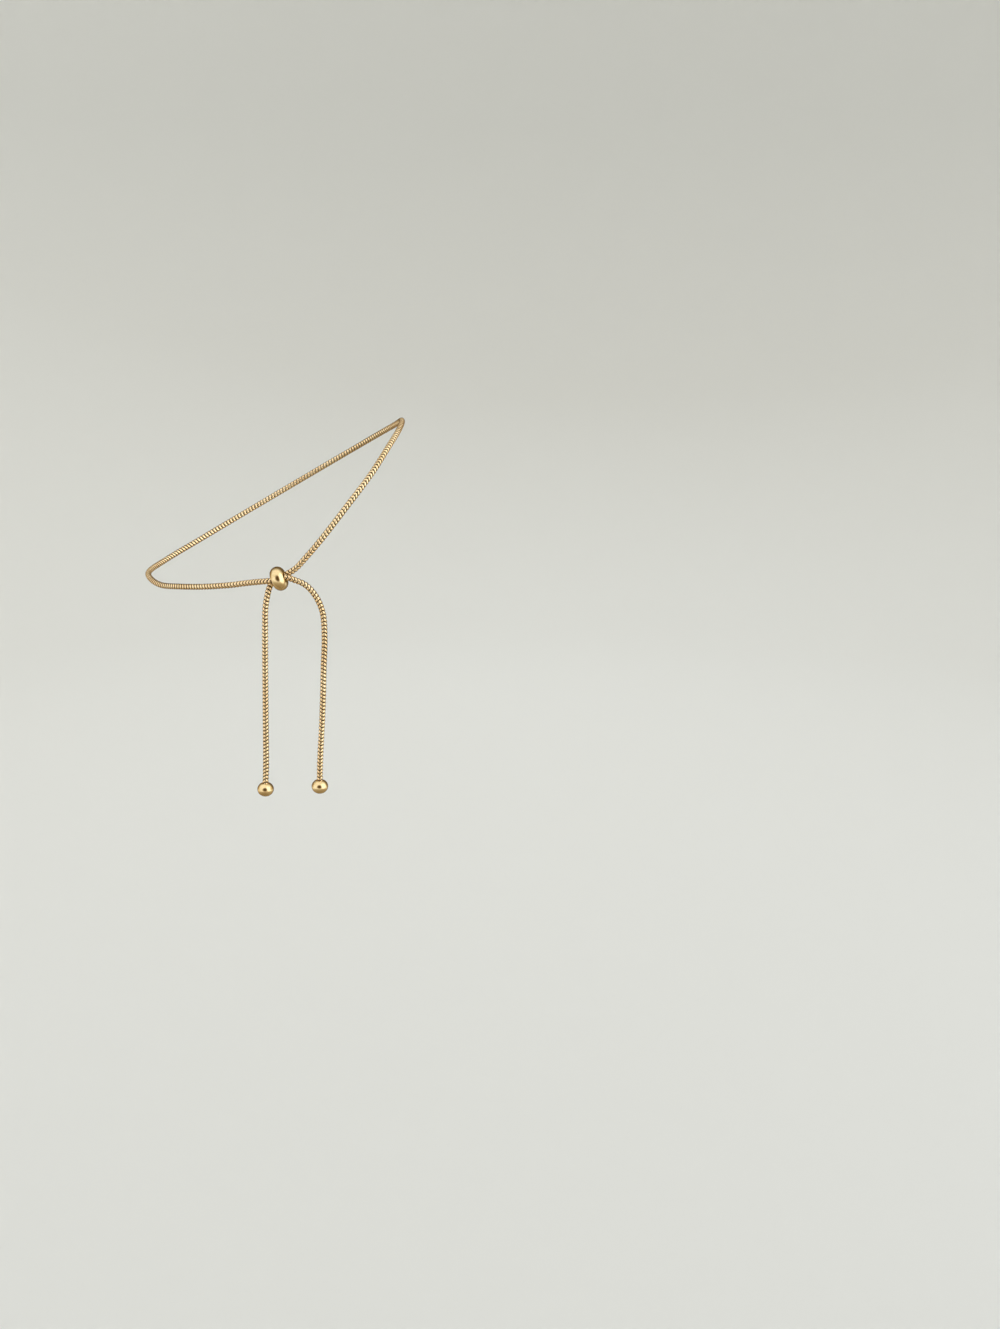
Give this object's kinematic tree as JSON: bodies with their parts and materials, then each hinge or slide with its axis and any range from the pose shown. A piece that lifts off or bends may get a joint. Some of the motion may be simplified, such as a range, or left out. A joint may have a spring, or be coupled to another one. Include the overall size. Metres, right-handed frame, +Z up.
{
  "type": "slider charm anklet",
  "caption": "Worn anklet of round snake chain: one loop drawn through a slider bead, with two hanging free ends tipped by round ball charms.",
  "frame": {"origin": "centre of the loop, where the axis of the leg crosses it", "axes": "+Z up as the anklet is worn, +X towards the toes, and the slider with its hanging ends on the -Y side"},
  "size_m": [0.0671, 0.0608, 0.0901],
  "materials": {
    "chain": "gold-plated brass snake chain, satin between bright ribs",
    "slider": "gold-plated brass, turned and polished",
    "balls": "gold-plated brass, polished"
  },
  "bodies": {
    "root": {"snake_chain": "chain", "slider_bead": "slider", "end_ball_left": "balls", "end_ball_right": "balls"}
  },
  "joints": []
}
